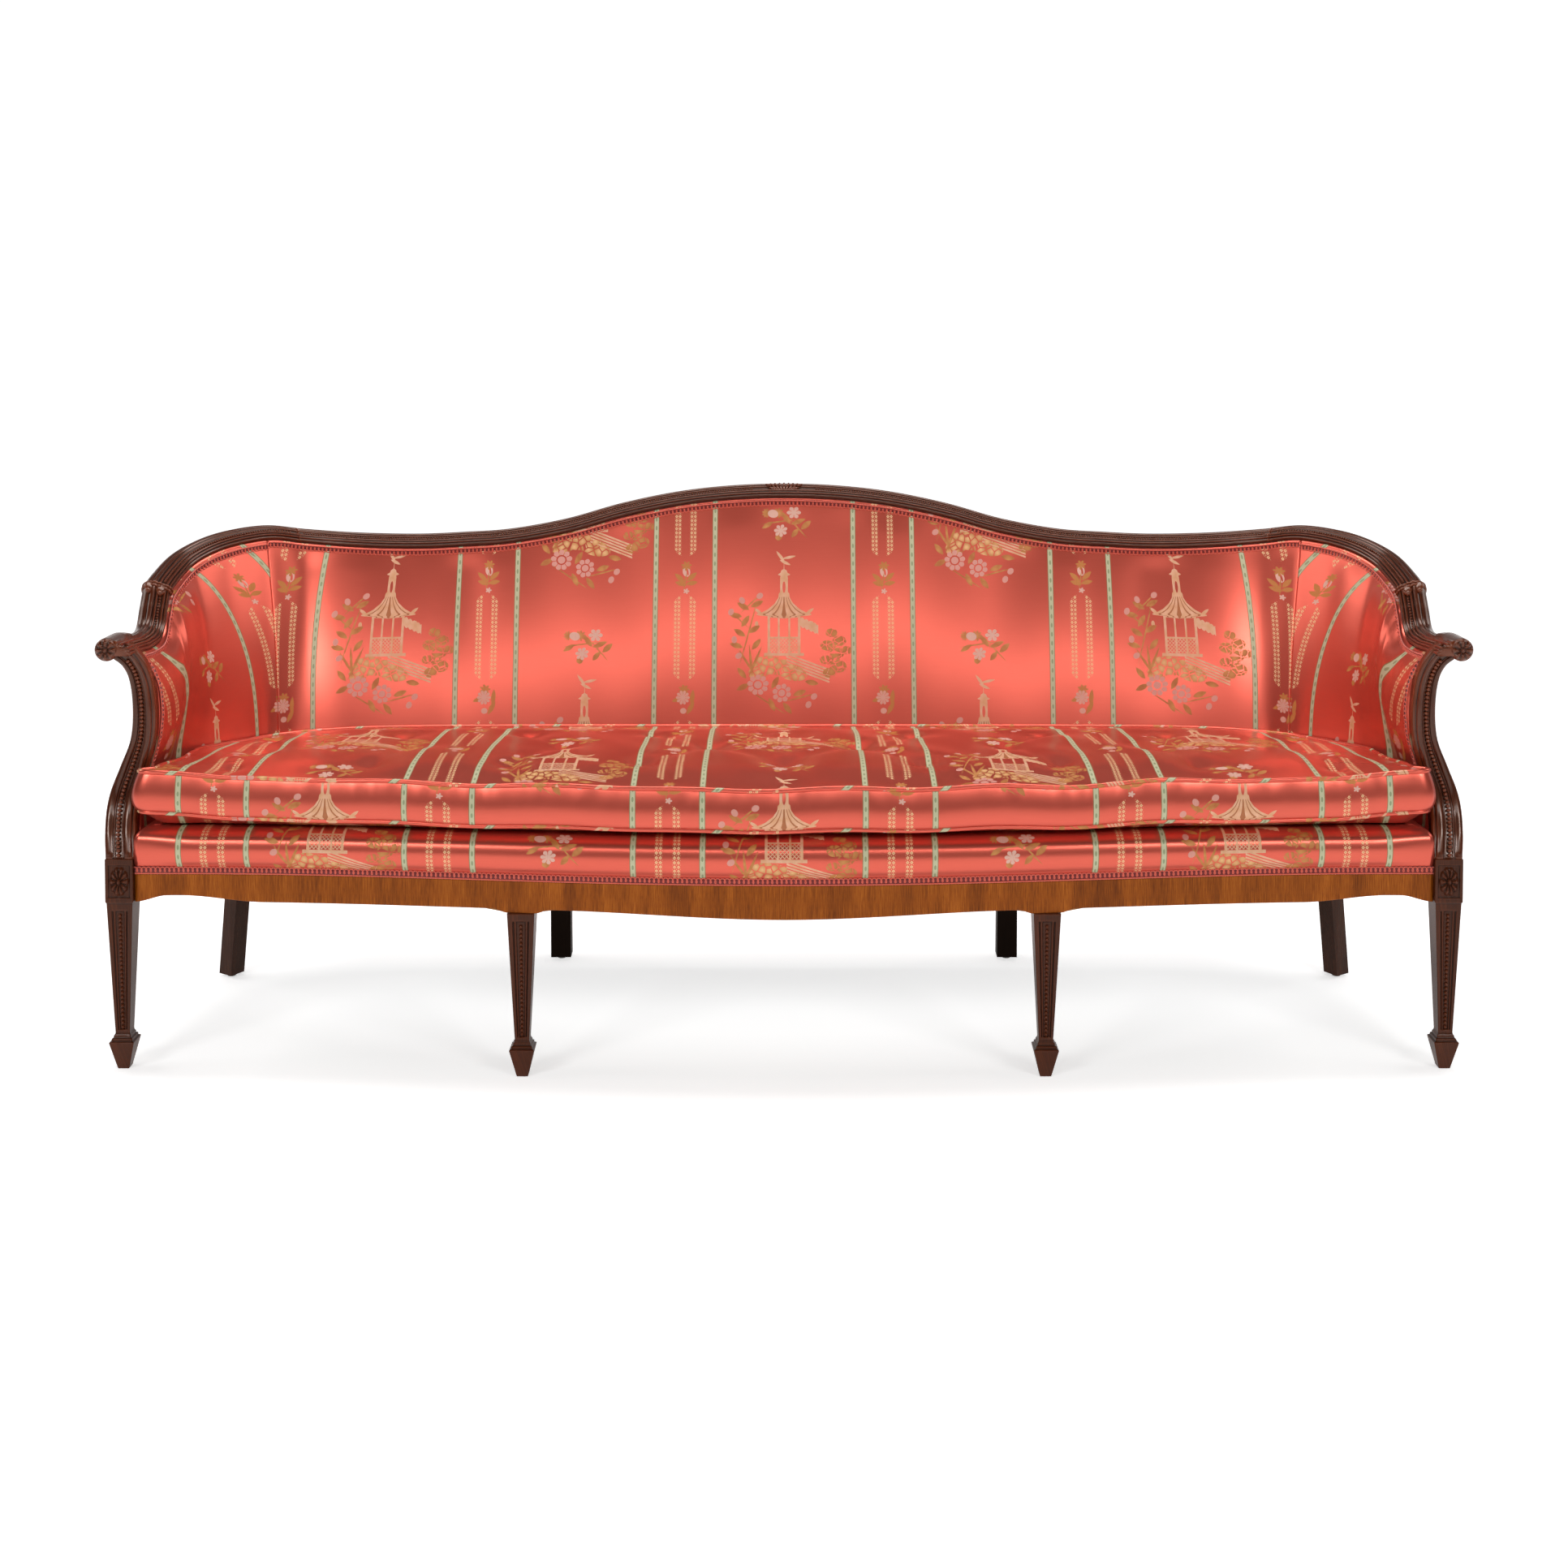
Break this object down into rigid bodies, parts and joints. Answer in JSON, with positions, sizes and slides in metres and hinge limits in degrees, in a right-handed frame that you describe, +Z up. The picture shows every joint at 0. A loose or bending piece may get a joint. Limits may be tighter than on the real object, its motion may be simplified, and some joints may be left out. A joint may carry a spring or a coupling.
{
  "type": "camelback sofa",
  "caption": "Long sofa with a humped wooden crest, scrolled arms, square tapered legs, striped silk covers and a loose seat cushion.",
  "frame": {"origin": "on the floor, under the middle of the sofa's bounding box", "axes": "+X to the right as seen from the front, along the length; +Y towards the back; +Z up"},
  "size_m": [2.137, 0.7442, 0.85],
  "materials": {
    "show_wood": "gloss dark red-brown mahogany, french polished",
    "facing_wood": "polished golden-brown mahogany with its grain upright",
    "frame_wood": "raw sawn beech",
    "silk": "coral red satin with woven stripes and figures",
    "braid": "coral scroll gimp braid",
    "webbing": "natural jute twill",
    "dust_cloth": "black cambric",
    "glide_steel": "pressed and polished"
  },
  "bodies": {
    "frame": {"crest_rail": "show_wood", "crest_corner_left": "show_wood", "crest_corner_right": "show_wood", "arm_rail_left": "show_wood", "arm_rail_right": "show_wood", "arm_support_left": "show_wood", "arm_support_right": "show_wood", "front_leg_outer_left": "show_wood", "front_leg_outer_right": "show_wood", "front_leg_inner_left": "show_wood", "front_leg_inner_right": "show_wood", "rear_leg_inner_left": "show_wood", "rear_leg_inner_right": "show_wood", "rear_leg_outer_left": "show_wood", "rear_leg_outer_right": "show_wood", "scroll_rosette_left": "show_wood", "scroll_rosette_right": "show_wood", "block_rosette_front_left": "show_wood", "block_rosette_front_right": "show_wood", "block_rosette_side_left": "show_wood", "block_rosette_side_right": "show_wood", "front_rail_facing": "facing_wood", "side_rail_left": "facing_wood", "side_rail_right": "facing_wood", "front_rail": "frame_wood", "rear_rail_centre": "frame_wood", "back_stretcher_centre": "frame_wood", "brace_middle": "frame_wood", "rear_rail_left": "frame_wood", "rear_rail_right": "frame_wood", "brace_left": "frame_wood", "brace_right": "frame_wood", "corner_block_front_left": "frame_wood", "corner_block_front_right": "frame_wood", "corner_block_rear_left": "frame_wood", "corner_block_rear_right": "frame_wood", "back_stretcher_left": "frame_wood", "back_stretcher_right": "frame_wood", "arm_stretcher_left": "frame_wood", "arm_stretcher_right": "frame_wood", "seat_stuffing": "silk", "inside_back": "silk", "outside_back": "silk", "inside_arm_left": "silk", "inside_arm_right": "silk", "outside_arm_left": "silk", "outside_arm_right": "silk", "braid_front": "braid", "braid_back": "braid", "braid_arm_left": "braid", "braid_arm_right": "braid", "seat_webbing": "webbing", "back_webbing": "webbing", "dust_cover": "dust_cloth", "glide_inner_left": "glide_steel", "glide_inner_right": "glide_steel", "glide_outer_left": "glide_steel", "glide_outer_right": "glide_steel"},
    "cushion": {"seat_cushion": "silk"}
  },
  "joints": [
    {"name": "cushion_lift", "type": "slide", "parent": "frame", "child": "cushion", "axis": [0, 0, 1], "range_m": [0, 0.45]}
  ]
}
